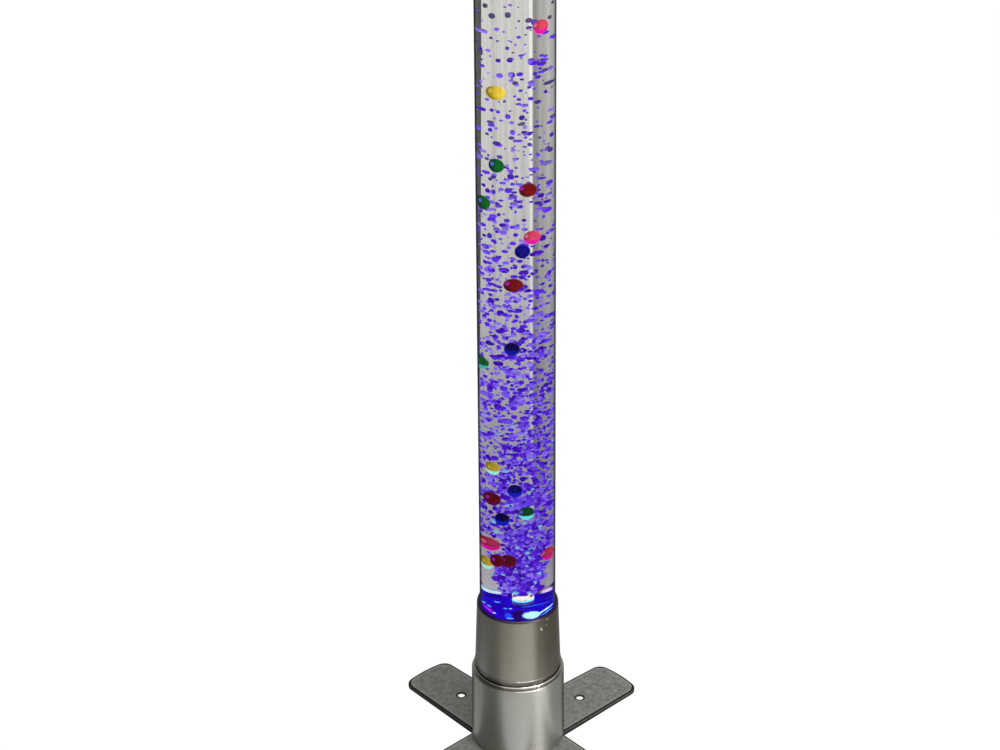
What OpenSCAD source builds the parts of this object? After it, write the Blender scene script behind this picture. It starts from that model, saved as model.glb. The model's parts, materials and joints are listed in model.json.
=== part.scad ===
// Bubble tube floor lamp: a water-filled acrylic column on a spun metal base with four
// pressed feet. A diaphragm pump in the base feeds air through a check valve to a stone above the
// clear plug, lamps under the plug light the bubbles, and plastic balls rise and sink.
// Millimetres, +Z up, origin on the floor under the column's axis, front towards -Y.

/* [Column] */
// Height from the floor to the top of the cap
total_h = 1200; // [1000:10:1400]
// Outside diameter of the acrylic tube
tube_d = 80; // [80:0.5:81]
// Wall of the acrylic tube
tube_wall = 3; // [2.5:0.5:3.5]
// Diameter of the floating balls
ball_d = 14.5; // [12:0.5:14.5]

/* [Upper sleeve] */
// Height of the sleeve's rim above the floor
rim_z = 181; // [180:0.5:184]
// Diameter of the sleeve just below its rolled rim
sleeve_top_d = 86.4; // [86.2:0.1:87.5]
// Diameter of the sleeve just above its bottom bead
sleeve_bottom_d = 91.2; // [91:0.1:92]
// Sheet thickness of the sleeve
sleeve_wall = 1.8; // [1.5:0.1:1.8]

/* [Lower housing] */
// Height of the lower housing's top edge above the floor
housing_top_z = 95; // [94:0.5:97]
// Diameter of the housing at its top edge
housing_top_d = 98.6; // [98.2:0.2:99]
// Diameter of the housing at the floor end
housing_bottom_d = 99; // [98.6:0.2:100]
// Sheet thickness of the housing
housing_wall = 1.6; // [1.2:0.1:1.8]

/* [Feet] */
// Width of each leg where it leaves the housing
leg_w = 66; // [60:0.5:68]
// Width of each leg near its tip
leg_tip_w = 60.5; // [52:0.5:66]
// Distance from the axis to each leg's tip
leg_reach = 154.3; // [146:0.1:165]
// Sheet thickness of the legs
leg_sheet = 1.5; // [1.5:0.1:2]
// Depth of a leg's turned-down edge at the tip
leg_edge_h = 4; // [3.5:0.5:4.5]
// Rounding of the corners at a leg's tip
leg_corner_r = 12; // [8:1:16]
// Diameter of the circle through the four floor bolts
bolt_pcd = 184; // [170:1:200]
// Diameter of each floor bolt's hole
bolt_hole_d = 8; // [6:0.5:9]
// How far the rubber pads stand out below the legs' tips
pad_h = 2; // [1:0.5:2]

/* [Light] */
// Lamps in the outer ring of the light board
outer_leds = 12; // [8:1:14]
// Radius of that ring
outer_led_r = 27; // [24:1:29]

/* [Hidden] */
$fn = 96;
LEG_ANGLES = [135, 45, 225, 315];
tube_r = tube_d / 2;
bore_r = tube_r - tube_wall;

// heights, from the floor up
leg_top_z = pad_h + leg_edge_h;
sheet_z = leg_top_z - leg_sheet;     // underside of the legs' sheet
plate_top_z = leg_top_z + 2.5;
shoulder_z = rim_z - 78;             // top of the polished shoulder, where the sleeve stands
cup_z = rim_z - 29;                  // underside of the cup that holds the tube
board_z = cup_z + 5;
tube_z = cup_z + 10;
plug_top_z = rim_z - 3;
tube_top_z = total_h - 30;
stone_h = 12.5;

// legs
leg_root_x = housing_bottom_d / 2;   // where leg_w is measured
leg_root_z = 0.4;                    // lowest edge of a leg beside the housing
leg_end_r = 135;                     // bow of a leg's end
leg_bend_r = 1.2;                    // rounding of the legs' upper edge
leg_taper = (leg_w - leg_tip_w) / 2 / (leg_reach - leg_root_x);

// sleeve
lip_r = 2.6;                         // outside radius of the rim, rolled in over a quarter turn
lip_z = rim_z - lip_r;
hem_z = shoulder_z + 2.6;            // where the sleeve's wall meets its bottom bead

// leg fastening
post_circle_r = 36.5;
boss_circle_r = 18;
post_r = 3.5;
m4_r = 2;
m4_clear_r = 2.15;
m4_tapped_r = 2.05;
head_r = 3.6;
head_h = 2.2;

// air line, where it rises through the plug
air_x = 3;
air_y = 11;
stem_r = 1.95;
hose_bore_r = 2;
hose_r = 3.5;
air_bore_r = 1.1;

// air pump, in its own frame: the tray's underside is z = 0 and the arm lies along x
pump_y = -2;
pump_z = plate_top_z + 5;
arm_z = 20;
pin_x = 26;
pin_r = 1.5;
outlet_x = 8;
chamber_z = 30;
nozzle_z = 54;
valve_z = 106;                       // underside of the check valve's body
valve_seat_z = valve_z + 4.5;

// rear panel
jack_z = 30;
switch_z = 62;
panel_y = 48.9;                      // the flats that the jack and the switch sit on

// cap
cap_bottom_z = tube_top_z - 24;
cap_bottom_r = 43;
cap_top_r = 41.6;
cap_corner_r = 4;
cap_wall = 1.6;

function sleeve_r(z) = sleeve_bottom_d / 2
    + (sleeve_top_d - sleeve_bottom_d) / 2 * (z - hem_z) / (lip_z - hem_z);

// Each ball's place in the water: x, y, height of its middle, colour
BALLS = [
    [ 23, -18, 863, "HotPink"], [-14,  -1, 786, "Gold"], [-16, -22, 714, "LimeGreen"],
    [ 10, -10, 683, "FireBrick"], [-27,  -9, 666, "LimeGreen"], [ 14, -14, 631, "HotPink"],
    [  7, -28, 621, "RoyalBlue"], [ -2,   0, 571, "FireBrick"], [ -3, -25, 507, "MidnightBlue"],
    [-26,   6, 474, "LimeGreen"], [-21, -17, 359, "Gold"], [ -1, -28, 338, "RoyalBlue"],
    [-19,  -1, 314, "FireBrick"], [  9, -20, 307, "LimeGreen"], [-13, -25, 301, "MidnightBlue"],
    [-18,  14, 250, "HotPink"], [ 28,  -8, 248, "HotPink"], [-26,  -6, 235, "Gold"],
    [-18, -22, 247, "FireBrick"], [ -7, -10, 242, "FireBrick"]
];
function ball_name(i) = str("ball_", i < 9 ? "0" : "", i + 1);

// ---- helpers ----

// Upright ring between two heights
module ring(r_in, r_out, z0, z1) {
    translate([0, 0, z0]) difference() {
        cylinder(r = r_out, h = z1 - z0);
        translate([0, 0, -1]) cylinder(r = r_in, h = z1 - z0 + 2);
    }
}

// Upright rod between two heights
module rod(r, z0, z1) {
    translate([0, 0, z0]) cylinder(r = r, h = z1 - z0);
}

// Block given by its two corners
module block(low, high) {
    translate(low) cube(high - low);
}

// Round bead laid in a circle around the axis
module bead(r, z, bead_r) {
    rotate_extrude() translate([r, z]) circle(r = bead_r, $fn = 32);
}

// Children once for each leg direction, at a radius
module at_legs(r) {
    for (a = LEG_ANGLES) rotate([0, 0, a]) translate([r, 0, 0]) children();
}

// Children on the pump's frame
module on_pump() {
    translate([0, pump_y, pump_z]) children();
}

// Children turned so that their +Z points out of the rear panel, at a height
module on_rear_panel(z) {
    translate([0, panel_y, z]) rotate([-90, 0, 0]) children();
}

function unit(v) = v / norm(v);
function heading(p, i) = unit(p[min(i + 1, len(p) - 1)] - p[max(i - 1, 0)]);
function across(t) = unit(cross(t, abs(t[0]) > 0.9 ? [0, 1, 0] : [1, 0, 0]));

// Round solid of one radius through a list of points
module swept(path, r, sides) {
    rings = [for (i = [0 : len(path) - 1])
        let (t = heading(path, i), u = across(t), v = cross(t, u))
        for (k = [0 : sides - 1]) let (a = 360 * k / sides)
            path[i] + r * (cos(a) * u + sin(a) * v)];
    last = (len(path) - 1) * sides;
    polyhedron(rings, concat(
        [[for (k = [0 : sides - 1]) k]],
        [[for (k = [sides - 1 : -1 : 0]) last + k]],
        [for (i = [0 : len(path) - 2], k = [0 : sides - 1])
            [i * sides + k, (i + 1) * sides + k,
             (i + 1) * sides + (k + 1) % sides, i * sides + (k + 1) % sides]]));
}

// ---- feet and base plate ----

// Points of an arc from angle a0 to angle a1
function arc(centre, r, a0, a1, steps) =
    [for (i = [0 : steps]) let (a = a0 + (a1 - a0) * i / steps) centre + r * [cos(a), sin(a)]];

// Middle of the arc at a leg tip's corner: it touches the tapered side and the bowed end
function leg_corner() =
    let (k = leg_w / 2 + leg_taper * leg_root_x - leg_corner_r * norm([1, leg_taper]),
         end_x = leg_reach - leg_end_r,
         m = 1 + leg_taper * leg_taper,
         p = end_x + k * leg_taper,
         q = end_x * end_x + k * k - pow(leg_end_r - leg_corner_r, 2),
         x = (p + sqrt(p * p - m * q)) / m)
    [x, k - leg_taper * x];

// Leg seen from above, along +X from the axis, drawn in by a margin
module leg_plan(margin) {
    corner = leg_corner();
    end_x = leg_reach - leg_end_r;
    side_a = 90 - atan(leg_taper);
    end_a = atan2(corner[1], corner[0] - end_x);
    r = leg_corner_r - margin;
    root_y = leg_w / 2 + leg_taper * leg_root_x - margin * norm([1, leg_taper]);
    polygon(concat(
        [[0, root_y]],
        arc(corner, r, side_a, end_a, 10),
        arc([end_x, 0], leg_end_r - margin, end_a * 0.8, -end_a * 0.8, 8),
        arc([corner[0], -corner[1]], r, -end_a, -side_a, 10),
        [[0, -root_y]]));
}

// One pressed leg along +X, turned down all round and mitred at the axis to its neighbours
module leg(angle) {
    gap = 0.35;
    low = -1;
    color("DimGray") rotate([0, 0, angle]) difference() {
        intersection() {
            hull() {
                linear_extrude(leg_top_z - leg_bend_r) leg_plan(0);
                for (a = [30, 60, 90]) linear_extrude(leg_top_z - leg_bend_r * (1 - sin(a)))
                    leg_plan(leg_bend_r * (1 - cos(a)));
            }
            linear_extrude(leg_top_z + 1)
                polygon([[gap, 0], [leg_reach + gap, leg_reach], [leg_reach + gap, -leg_reach]]);
        }
        translate([0, 0, low]) linear_extrude(sheet_z - low) leg_plan(leg_sheet);
        rotate([90, 0, 0]) translate([0, 0, -leg_w]) linear_extrude(2 * leg_w)
            polygon([[low, low], [leg_reach + 1, low], [leg_reach + 1, pad_h],
                     [leg_reach, pad_h], [leg_root_x, leg_root_z], [low, leg_root_z]]);
        translate([bolt_pcd / 2, 0, low]) cylinder(d = bolt_hole_d, h = leg_top_z + 2);
        for (r = [boss_circle_r, post_circle_r]) translate([r, 0, low])
            cylinder(r = m4_clear_r, h = leg_top_z + 2);
    }
}

module foot_pads() {
    color("#202020") at_legs(leg_reach - 16) cylinder(r = 9, h = sheet_z);
}

// Pan-head screws: the outer ones hold the clamp posts, the inner ones the plate's bosses
module leg_screws() {
    color("Silver") for (place = [[boss_circle_r, 12], [post_circle_r, 20]])
        at_legs(place[0]) {
            rod(head_r, sheet_z - head_h, sheet_z);
            rod(m4_r, sheet_z - 1, place[1]);
        }
}

module base_plate() {
    tab_x = 12;
    color("Gray") difference() {
        union() {
            rod(housing_bottom_d / 2 - 0.5, leg_top_z, plate_top_z);
            ring(45, housing_bottom_d / 2 - housing_wall - 0.4, plate_top_z - 1, plate_top_z + 3.5);
            at_legs(boss_circle_r) rod(4, leg_top_z + 0.5, plate_top_z + 4);
            for (side = [-1, 1])
                block([side * tab_x - 3, 17.4, plate_top_z - 1], [side * tab_x + 3, 19, 22]);
        }
        at_legs(post_circle_r) rod(m4_clear_r, leg_top_z - 1, plate_top_z + 1);
        at_legs(boss_circle_r) rod(m4_tapped_r, leg_top_z - 1, plate_top_z + 5);
        for (side = [-1, 1])
            translate([side * tab_x, 16, 17.5]) rotate([-90, 0, 0]) cylinder(r = 1.25, h = 4);
    }
}

// ---- outer shells ----

module lower_housing() {
    r_top = housing_top_d / 2;
    r_bottom = housing_bottom_d / 2;
    edge_r = 1.2;
    straight_z = housing_top_z - edge_r;
    color("Silver") difference() {
        union() {
            rotate_extrude() polygon([
                [r_bottom - housing_wall, plate_top_z], [r_bottom, plate_top_z],
                [r_top, straight_z], [r_top - edge_r, straight_z],
                [r_top - edge_r, housing_top_z], [44, housing_top_z],
                [44, housing_top_z - housing_wall],
                [r_top - housing_wall, housing_top_z - housing_wall]]);
            bead(r_top - edge_r, straight_z, edge_r);
        }
        for (opening = [[jack_z, 5, 6.8], [switch_z, 6, 8.3]]) on_rear_panel(opening[0]) {
            translate([0, 0, -8]) cylinder(r = opening[1], h = 12);
            cylinder(r = opening[2], h = 4);
        }
    }
}

// Polished neck between the housing and the sleeve, with a half-round bead at its foot
module shoulder_ring() {
    neck_r = 44.9;
    bead_r = 1.3;
    shadow_gap = 1.3;
    color("WhiteSmoke") union() {
        ring(43, 43.9, housing_top_z - 3, shoulder_z);
        ring(43, neck_r, housing_top_z, shoulder_z);
        bead(neck_r + 0.8, housing_top_z + shadow_gap + bead_r, bead_r);
    }
}

// Tapered spun sleeve with a rolled bead at the bottom, a rolled-in rim and an inner ledge
module upper_sleeve() {
    bead_r = 0.8;
    foot_r = sleeve_r(hem_z) - 0.6;
    ledge_z = cup_z - 3;
    color("Silver") union() {
        rotate_extrude() polygon([
            [sleeve_r(hem_z) - sleeve_wall, shoulder_z], [foot_r, shoulder_z], [foot_r, hem_z],
            [sleeve_r(hem_z), hem_z], [sleeve_r(lip_z), lip_z],
            [sleeve_r(lip_z) - sleeve_wall, lip_z]]);
        bead(foot_r + 0.4, shoulder_z + 1.9, bead_r);
        rotate_extrude() translate([sleeve_r(lip_z) - lip_r, lip_z]) difference() {
            intersection() {
                circle(r = lip_r);
                square(lip_r);
            }
            circle(r = lip_r - sleeve_wall);
        }
        ring(40.4, sleeve_r(cup_z) - sleeve_wall + 0.6, ledge_z, cup_z);
    }
}

// Rods that pull the cup down on the sleeve's ledge and so hold the shells together
module clamp_posts() {
    color("LightGray") at_legs(post_circle_r) difference() {
        union() {
            rod(post_r, plate_top_z, cup_z);
            rod(m4_r, cup_z, cup_z + 4.3);
        }
        rod(m4_tapped_r, plate_top_z - 1, plate_top_z + 12.5);
    }
}

// ---- column ----

// Moulded cup: it seats the tube, holds the light board and takes the posts' studs
module tube_cup() {
    color("#303030") difference() {
        union() {
            rod(sleeve_r(cup_z + 2.5) - sleeve_wall - 0.2, cup_z, cup_z + 2.5);
            rod(tube_r + 1, cup_z + 2.5, tube_z + 10);
        }
        rod(33, cup_z + 2.5, board_z + 1);
        rod(36.2, board_z, tube_z + 1);
        rod(tube_r + 0.05, tube_z, tube_z + 11);
        at_legs(post_circle_r) rod(m4_tapped_r, cup_z - 1, cup_z + 4.6);
        translate([air_x, air_y, 0]) rod(4.2, cup_z - 1, cup_z + 3);
        translate([-15, -8, 0]) rod(3, cup_z - 1, cup_z + 3);
    }
}

module tube() {
    color("AliceBlue", 0.35) ring(bore_r, tube_r, tube_z, tube_top_z);
}

module tube_plug() {
    plug_r = bore_r - 0.1;
    chamfer = 0.8;
    color("MediumBlue", 0.8) difference() {
        rotate_extrude() polygon([
            [0, tube_z], [plug_r, tube_z], [plug_r, plug_top_z - chamfer],
            [plug_r - chamfer, plug_top_z], [0, plug_top_z]]);
        translate([air_x, air_y, 0]) rod(3, tube_z - 1, plug_top_z + 1);
    }
}

module tube_gasket() {
    color("#202020") ring(tube_r + 0.05, tube_r + 0.95, lip_z - 5, rim_z - sleeve_wall - 0.1);
}

// ---- light ----

module led_board() {
    color("White") difference() {
        rod(36, board_z, board_z + 1.6);
        translate([air_x, air_y, 0]) rod(3.6, board_z - 1, board_z + 3);
    }
}

module leds() {
    size = 5;
    color("Blue") translate([0, 0, board_z + 1.6]) {
        for (i = [0 : outer_leds - 1]) rotate([0, 0, i * 360 / outer_leds])
            translate([outer_led_r - size / 2, -size / 2, 0]) cube([size, size, 1.5]);
        for (a = [165, 255, 345]) rotate([0, 0, a])
            translate([15 - size / 2, -size / 2, 0]) cube([size, size, 1.5]);
    }
}

// ---- electrics ----

// Upright circuit board with its coil, capacitor, chip and two connectors
module control_board() {
    back = 20.6;
    color("DarkGreen") difference() {
        union() {
            block([-19, 19, 14], [19, back, 80]);
            block([-15, back, 52], [-2, back + 9, 66]);
            translate([9, back, 60]) rotate([-90, 0, 0]) cylinder(r = 4, h = 10);
            block([-4, back, 36], [6, back + 1.6, 43]);
            block([-17, back, 26], [-9, back + 5, 32]);
            block([4, back, 24], [14, back + 5, 30]);
        }
        for (side = [-1, 1])
            translate([side * 12, 18, 17.5]) rotate([-90, 0, 0]) cylinder(r = 1.35, h = 4);
    }
}

module board_screws() {
    color("Silver") for (side = [-1, 1])
        translate([side * 12, 17.6, 17.5]) rotate([-90, 0, 0]) {
            cylinder(r = 1.2, h = 3.5);
            translate([0, 0, 3]) cylinder(r = 2.2, h = 1.4);
        }
}

// Snap-in power socket with its centre pin
module dc_jack() {
    color("#181818") on_rear_panel(jack_z) {
        difference() {
            union() {
                cylinder(r = 6.5, h = 1.5);
                translate([0, 0, -13]) cylinder(r = 4.9, h = 14);
            }
            translate([0, 0, -8.5]) cylinder(r = 2.75, h = 12);
        }
        translate([0, 0, -9]) cylinder(r = 1.05, h = 9.5);
    }
}

module switch_body() {
    color("#181818") on_rear_panel(switch_z) difference() {
        union() {
            cylinder(r = 8, h = 1.5);
            translate([0, 0, -17]) cylinder(r = 5.9, h = 18);
        }
        translate([0, 0, -9]) cylinder(r = 5, h = 12);
    }
}

module power_button() {
    color("#303030") on_rear_panel(switch_z) union() {
        translate([0, 0, -5]) cylinder(r = 4.9, h = 8.2);
        translate([0, 0, 3.2]) cylinder(r1 = 4.9, r2 = 4.1, h = 0.8);
    }
}

// ---- air pump ----

// Steel tray with the arm's two ears and the chamber's two side plates
module pump_frame() {
    color("Silver") on_pump() difference() {
        union() {
            block([-30, -15, 0], [31, 15, 2.5]);
            block([-29, -9, 2.5], [-14, 9, 4]);
            for (side = [-1, 1]) {
                block([pin_x - 4.5, side * 10.5 - 1.5, 2], [pin_x + 4.5, side * 10.5 + 1.5, arm_z]);
                translate([pin_x, side * 10.5 - 1.5, arm_z]) rotate([-90, 0, 0])
                    cylinder(r = 4.5, h = 3);
                block([0, side * 12.5 - 1.2, 2], [16, side * 12.5 + 1.2, chamber_z]);
            }
        }
        translate([pin_x, -20, arm_z]) rotate([-90, 0, 0]) cylinder(r = pin_r + 0.02, h = 40);
    }
}

// Laminated core with three poles facing the arm's magnet
module pump_core() {
    color("SlateGray") on_pump() difference() {
        block([-29, -9, 4], [-14, 9, 36]);
        for (z = [10, 23]) block([-23, -10, z], [-13, 10, z + 7]);
    }
}

module pump_coil() {
    color("Peru") on_pump() difference() {
        block([-22.5, -14, 10.4], [-15.5, 14, 29.6]);
        block([-23, -9.1, 16.9], [-15, 9.1, 23.1]);
    }
}

module pump_arm() {
    color("LightGray") on_pump() difference() {
        union() {
            block([-6, -6, arm_z - 1.2], [pin_x, 6, arm_z + 1.2]);
            block([-7, -8, arm_z - 7], [-5.5, 8, arm_z + 7]);
            translate([pin_x, -8.8, arm_z]) rotate([-90, 0, 0]) cylinder(r = 3.2, h = 17.6);
            translate([outlet_x, 0, 0]) rod(3, arm_z, arm_z + 4);
        }
        translate([pin_x, -10, arm_z]) rotate([-90, 0, 0]) cylinder(r = pin_r + 0.05, h = 20);
    }
}

module arm_magnet() {
    color("#404448") on_pump() block([-12, -8, arm_z - 6], [-7, 8, arm_z + 6]);
}

module arm_pin() {
    color("Silver") on_pump()
        translate([pin_x, -12, arm_z]) rotate([-90, 0, 0]) cylinder(r = pin_r, h = 24);
}

// Rubber cone between the arm's stud and the chamber
module pump_diaphragm() {
    stud_z = arm_z + 4;
    color("#282828") on_pump() translate([outlet_x, 0, 0]) rotate_extrude() polygon([
        [0, stud_z], [3.2, stud_z], [8.6, chamber_z - 1.4], [9.6, chamber_z - 1.4],
        [9.6, chamber_z], [7.8, chamber_z], [2.6, stud_z + 1.4], [0, stud_z + 1.4]]);
}

module pump_chamber() {
    top_z = chamber_z + 14;
    color("Ivory") on_pump() difference() {
        union() {
            block([-3, -13.7, chamber_z], [19, 13.7, chamber_z + 2.5]);
            block([-3, -11, chamber_z + 2], [19, 11, top_z]);
            translate([outlet_x, 0, 0]) rod(stem_r, top_z - 1, nozzle_z);
        }
        translate([outlet_x, 0, 0]) {
            rod(7.6, chamber_z - 1, chamber_z + 6);
            rod(air_bore_r, chamber_z + 5, nozzle_z + 1);
            translate([-5, 0, 0]) rod(1, chamber_z + 5, chamber_z + 10);
        }
        translate([-4, 0, chamber_z + 10]) rotate([0, 90, 0]) cylinder(r = 1, h = 7.8);
    }
}

module pump_feet() {
    color("#282828") for (x = [-22, 24], y = [-12, 12])
        translate([x, pump_y + y, 0]) rod(3.5, plate_top_z, pump_z);
}

// ---- air line ----

// Both hoses' middle lines: the lower one leans over in an S from the pump to the valve
bend_z = 69;
bend_h = 26;
LOWER_HOSE = concat(
    [[outlet_x, pump_y, pump_z + nozzle_z - 9]],
    [for (i = [0 : 12]) let (s = (1 - cos(15 * i)) / 2)
        [outlet_x + s * (air_x - outlet_x), pump_y + s * (air_y - pump_y), bend_z + bend_h * i / 12]],
    [[air_x, air_y, valve_z - 0.5]]);
UPPER_HOSE = [[air_x, air_y, valve_z + 20.5], [air_x, air_y, cup_z - 4]];

// Open-ended hose along a path
module hose(path) {
    end_step = [0, 0, 1];
    last = len(path) - 1;
    difference() {
        swept(path, hose_r, 16);
        swept([for (i = [0 : last]) path[i] + (i == last ? end_step : i == 0 ? -end_step : [0, 0, 0])],
            hose_bore_r, 16);
    }
}

module air_hoses() {
    color("White", 0.7) for (path = [LOWER_HOSE, UPPER_HOSE]) hose(path);
}

// Check valve body: seat below, three stop pegs above the disc
module check_valve() {
    top_z = valve_z + 20;
    color("WhiteSmoke") translate([air_x, air_y, 0]) difference() {
        union() {
            rod(7, valve_z, top_z);
            rod(stem_r, valve_z - 9, top_z + 8);
        }
        difference() {
            rod(5, valve_z + 3, valve_z + 13);
            rod(2.6, valve_z + 2, valve_seat_z);
            for (a = [0 : 120 : 240]) rotate([0, 0, a]) translate([3.2, 0, 0])
                rod(0.7, valve_seat_z + 1.8, valve_z + 14);
        }
        rod(air_bore_r, valve_z - 10, valve_z + 5);
        rod(air_bore_r, valve_z + 12, top_z + 9);
    }
}

module valve_disc() {
    color("Tomato") translate([air_x, air_y, 0]) rod(4.2, valve_seat_z, valve_seat_z + 1);
}

module air_fitting() {
    color("Goldenrod") translate([air_x, air_y, 0]) difference() {
        union() {
            rod(stem_r, cup_z - 13, cup_z - 3);
            rod(2.95, cup_z - 4, plug_top_z + 6);
            rod(5.5, tube_z - 1.6, tube_z);
        }
        rod(1.2, cup_z - 14, plug_top_z + 7);
    }
}

module fitting_seal() {
    color("#202020") translate([air_x, air_y, 0]) ring(3, 6.5, plug_top_z, plug_top_z + 1.5);
}

// Porous stone with a rounded top
module air_stone() {
    stone_r = 7;
    low_z = plug_top_z + 1.5;
    color("Beige") translate([air_x, air_y, 0]) difference() {
        union() {
            rod(stone_r, low_z, low_z + stone_h - 2);
            rod(stone_r - 2, low_z, low_z + stone_h);
            bead(stone_r - 2, low_z + stone_h - 2, 2);
        }
        rod(3, low_z - 1, low_z + 5);
    }
}

// ---- cap ----

// Spun cap that stands on the tube's end, with an inner spigot and six vents
module top_cap() {
    side_z = total_h - cap_corner_r;
    spigot_r = bore_r - 0.3;
    color("Silver") difference() {
        union() {
            rotate_extrude() polygon([
                [tube_r + 0.35, cap_bottom_z], [cap_bottom_r, cap_bottom_z],
                [cap_top_r, side_z], [0, side_z], [0, tube_top_z], [tube_r + 0.35, tube_top_z]]);
            rod(cap_top_r - cap_corner_r, side_z - 1, total_h);
            bead(cap_top_r - cap_corner_r, side_z, cap_corner_r);
            ring(spigot_r - cap_wall, spigot_r, tube_top_z - 18, tube_top_z + 1);
        }
        rod(spigot_r - cap_wall, tube_top_z - 19, tube_top_z + 2);
        rod(tube_r - 0.4, tube_top_z + 2, side_z - 1);
        rod(cap_top_r - cap_corner_r, side_z - 2, total_h - cap_wall);
        ring(spigot_r - 0.5, spigot_r + 1, tube_top_z - 12, tube_top_z - 9);
        for (a = [0 : 60 : 300]) rotate([0, 0, a]) translate([22, 0, 0])
            rod(2, total_h - 5, total_h + 1);
    }
}

module cap_ring() {
    color("#202020") ring(bore_r - 0.8, bore_r - 0.05, tube_top_z - 12, tube_top_z - 9);
}

// ---- wiring ----

wire_r = 1.3;
WIRES = [
    // board to light board
    [[-13, 23.1, 32.1], [-13, 23.1, 38], [-17, 27, 48], [-18, 27, 62], [-18, 24, 78],
     [-18, 18, 96], [-17, 10, 112], [-16, 0, 128], [-15, -6, 142], [-15, -8, 150],
     [-15, -8, 156.9]],
    // board to pump coil
    [[9, 23.1, 23.9], [8.5, 23.6, 20.5], [4, 24.5, 16.5], [-4, 25, 15], [-14, 24.5, 15],
     [-20.5, 22, 17], [-22.8, 19, 22], [-22, 17.5, 28], [-20, 16.4, 33], [-19, 14.6, 34.5],
     [-19, 12.05, 34.5]],
    // power socket to board
    [[3, 35.85, 30], [3, 33, 30], [5, 31, 29], [8, 29.6, 27.6], [9, 28, 27], [9, 25.65, 27]],
    // switch to board
    [[1.5, 31.85, 60], [1.5, 29, 60], [1.5, 26.6, 58], [1.5, 25.6, 53], [1.5, 25.6, 46],
     [1.5, 25.2, 41.5], [1.5, 24, 39.6], [1.5, 22.25, 39.5]]
];

module wiring() {
    color("DarkRed") for (path = WIRES) swept(path, wire_r, 8);
}

// ---- balls ----

module ball(i) {
    color(BALLS[i][3]) translate([BALLS[i][0], BALLS[i][1], BALLS[i][2]]) sphere(d = ball_d);
}

leg(LEG_ANGLES[0]);  // leg_rear_left
leg(LEG_ANGLES[1]);  // leg_rear_right
leg(LEG_ANGLES[2]);  // leg_front_left
leg(LEG_ANGLES[3]);  // leg_front_right
foot_pads();
leg_screws();
base_plate();
lower_housing();
shoulder_ring();
upper_sleeve();
clamp_posts();
tube_cup();
tube();
tube_plug();
tube_gasket();
led_board();
leds();
control_board();
board_screws();
pump_frame();
pump_core();
pump_coil();
pump_arm();
arm_magnet();
arm_pin();
pump_diaphragm();
pump_chamber();
pump_feet();
air_hoses();
check_valve();
valve_disc();
air_fitting();
fitting_seal();
air_stone();
dc_jack();
switch_body();
power_button();
top_cap();
cap_ring();
wiring();
for (i = [0 : len(BALLS) - 1])
    ball(i);
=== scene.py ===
"""Bubble tube floor lamp: water, bubbles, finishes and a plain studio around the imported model."""
import json
import math

import bmesh
import bpy
from mathutils import Matrix, Vector


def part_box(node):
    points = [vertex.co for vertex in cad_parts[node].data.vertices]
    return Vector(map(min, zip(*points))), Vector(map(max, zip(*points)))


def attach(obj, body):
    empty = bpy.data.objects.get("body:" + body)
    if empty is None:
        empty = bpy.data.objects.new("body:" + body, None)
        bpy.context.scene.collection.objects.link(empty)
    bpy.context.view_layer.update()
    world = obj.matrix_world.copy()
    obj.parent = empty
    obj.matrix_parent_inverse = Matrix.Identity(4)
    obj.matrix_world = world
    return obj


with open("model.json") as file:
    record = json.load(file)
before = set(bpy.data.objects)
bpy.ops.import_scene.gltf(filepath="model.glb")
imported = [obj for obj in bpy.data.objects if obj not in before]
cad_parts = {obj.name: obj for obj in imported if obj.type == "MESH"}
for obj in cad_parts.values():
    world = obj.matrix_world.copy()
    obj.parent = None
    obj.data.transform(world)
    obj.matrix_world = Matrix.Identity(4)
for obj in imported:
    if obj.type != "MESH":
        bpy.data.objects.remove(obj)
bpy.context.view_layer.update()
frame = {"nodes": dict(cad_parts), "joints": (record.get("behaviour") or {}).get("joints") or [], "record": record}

MM = 0.001

# ---- sizes taken from the frame, in metres ----

tube_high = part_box("tube")[1]
plug_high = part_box("tube_plug")[1]
stone_low, stone_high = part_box("air_stone")
stone_centre = (stone_low + stone_high) / 2
ring_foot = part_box("shoulder_ring")[0].z
sleeve_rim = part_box("upper_sleeve")[1].z
ball_names = sorted(name for name in frame["nodes"] if name.startswith("ball_"))

# ---- sizes chosen here, in metres ----

bead_height = 6.7 * MM  # the shoulder ring's bright bead, which its dull neck stands on
plug_gap = 0.1 * MM     # between the plug and the tube's bore
air_space = 34 * MM     # from the water up to the tube's top
water_gap = 0.15 * MM   # keeps the water's mesh clear of the wall and the plug
bore_radius = plug_high.x + plug_gap
wall_middle = (bore_radius + tube_high.x) / 2
water_level = tube_high.z - air_space
acrylic_ior, water_ior = 1.49, 1.333


# ---- node graphs ----

class Socket:
    """One output of a node. Python's operators on it add Math nodes to its graph."""

    def __init__(self, graph, output):
        self.graph = graph
        self.output = output

    def math(self, operation, *others):
        return self.graph.node("ShaderNodeMath", {"operation": operation}, [self, *others]).out()

    def __add__(self, other):
        return self.math("ADD", other)

    def __sub__(self, other):
        return self.math("SUBTRACT", other)

    def __rsub__(self, other):
        return self.graph.node("ShaderNodeMath", {"operation": "SUBTRACT"}, [other, self]).out()

    def __mul__(self, other):
        return self.math("MULTIPLY", other)

    def __truediv__(self, other):
        return self.math("DIVIDE", other)

    def __pow__(self, other):
        return self.math("POWER", other)

    def __neg__(self):
        return self.math("MULTIPLY", -1.0)

    __radd__ = __add__
    __rmul__ = __mul__

    def absolute(self):
        return self.math("ABSOLUTE")

    def least(self, other):
        return self.math("MINIMUM", other)

    def most(self, other):
        return self.math("MAXIMUM", other)

    def between(self, low, high):
        """0 below low, 1 above high and a smooth step from one to the other."""
        settings = {"interpolation_type": "SMOOTHSTEP"}
        inputs = {"Value": self, "From Min": low, "From Max": high}
        return self.graph.node("ShaderNodeMapRange", settings, inputs).out("Result")


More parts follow.
